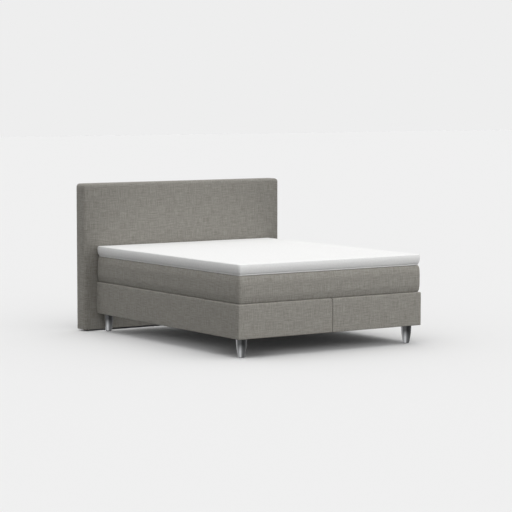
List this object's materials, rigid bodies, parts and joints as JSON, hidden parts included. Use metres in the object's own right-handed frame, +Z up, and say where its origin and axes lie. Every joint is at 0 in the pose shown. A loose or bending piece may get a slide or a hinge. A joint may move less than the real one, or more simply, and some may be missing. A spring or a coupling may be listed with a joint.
{
  "type": "box spring bed",
  "caption": "Double box spring bed with a padded floor-standing headboard, two sprung box bases on turned metal legs, a full-width mattress and a loose white topper.",
  "frame": {"origin": "on the floor, in the middle of the whole bed's width and length", "axes": "+Z up, +Y from the foot end to the headboard, +X to the right seen from the foot end"},
  "size_m": [1.81, 2.1152, 1.135],
  "materials": {
    "grey_upholstery_fabric": "plain-woven grey-brown upholstery cloth",
    "white_knitted_ticking": "white double-knitted mattress ticking",
    "cream_foam": "open-cell cream foam",
    "planed_spruce": "planed and untreated spruce",
    "brown_hardboard": "pressed hardboard",
    "white_spring_fleece": "non-woven spring pockets",
    "black_lining_fleece": "non-woven black lining",
    "polished_chrome": "turned and polished, chrome-plated",
    "zinc_plated_steel": "pressed and zinc-plated",
    "black_plastic": "moulded, fine matt grain"
  },
  "bodies": {
    "bed": {"base_link_foot": "zinc_plated_steel", "base_link_head": "zinc_plated_steel", "foot_left_leg": "polished_chrome", "foot_left_leg_block": "planed_spruce", "foot_left_leg_glide": "black_plastic", "foot_right_leg": "polished_chrome", "foot_right_leg_block": "planed_spruce", "foot_right_leg_glide": "black_plastic", "head_left_leg": "polished_chrome", "head_left_leg_block": "planed_spruce", "head_left_leg_glide": "black_plastic", "head_right_leg": "polished_chrome", "head_right_leg_block": "planed_spruce", "head_right_leg_glide": "black_plastic", "headboard_back_cloth": "black_lining_fleece", "headboard_bottom_rail": "planed_spruce", "headboard_cover": "grey_upholstery_fabric", "headboard_facing": "brown_hardboard", "headboard_foam": "cream_foam", "headboard_left_glide": "black_plastic", "headboard_left_post": "planed_spruce", "headboard_right_glide": "black_plastic", "headboard_right_post": "planed_spruce", "headboard_top_rail": "planed_spruce", "left_base_cover": "grey_upholstery_fabric", "left_base_dust_cloth": "black_lining_fleece", "left_base_foot_rail": "planed_spruce", "left_base_head_rail": "planed_spruce", "left_base_inner_rail": "planed_spruce", "left_base_outer_rail": "planed_spruce", "left_base_slats": "planed_spruce", "left_base_springs": "white_spring_fleece", "left_base_top_pad": "cream_foam", "left_bracket_bolt": "zinc_plated_steel", "left_headboard_bolt": "zinc_plated_steel", "left_headboard_bracket": "zinc_plated_steel", "right_base_cover": "grey_upholstery_fabric", "right_base_dust_cloth": "black_lining_fleece", "right_base_foot_rail": "planed_spruce", "right_base_head_rail": "planed_spruce", "right_base_inner_rail": "planed_spruce", "right_base_outer_rail": "planed_spruce", "right_base_slats": "planed_spruce", "right_base_springs": "white_spring_fleece", "right_base_top_pad": "cream_foam", "right_bracket_bolt": "zinc_plated_steel", "right_headboard_bolt": "zinc_plated_steel", "right_headboard_bracket": "zinc_plated_steel", "support_leg": "black_plastic"},
    "mattress": {"mattress_cover": "grey_upholstery_fabric", "mattress_lower_foam": "cream_foam", "mattress_springs": "white_spring_fleece", "mattress_underside": "black_lining_fleece", "mattress_upper_foam": "cream_foam"},
    "topper": {"topper_core": "cream_foam", "topper_cover": "white_knitted_ticking", "topper_underside": "white_knitted_ticking"},
    "support_foot": {"support_pad": "black_plastic"},
    "support_screw": {"support_spindle": "zinc_plated_steel"}
  },
  "joints": [
    {"name": "mattress_lift", "type": "slide", "parent": "bed", "child": "mattress", "axis": [0, 0, 1], "range_m": [0, 0.3]},
    {"name": "topper_lift", "type": "slide", "parent": "mattress", "child": "topper", "axis": [0, 0, 1], "range_m": [0, 0.3]},
    {"name": "support_travel", "type": "slide", "parent": "bed", "child": "support_foot", "axis": [0, 0, 1], "range_m": [-0.0101, 0.0121]},
    {"name": "support_turn", "type": "hinge", "parent": "support_foot", "child": "support_screw", "pos_m": [0, -0.05765, 0], "axis": [0, 0, 1], "range_deg": [-1800, 2160]}
  ],
  "couplings": [
    {"joint": "support_travel", "follows": "support_turn", "m_per_rad": 0.00031831}
  ]
}
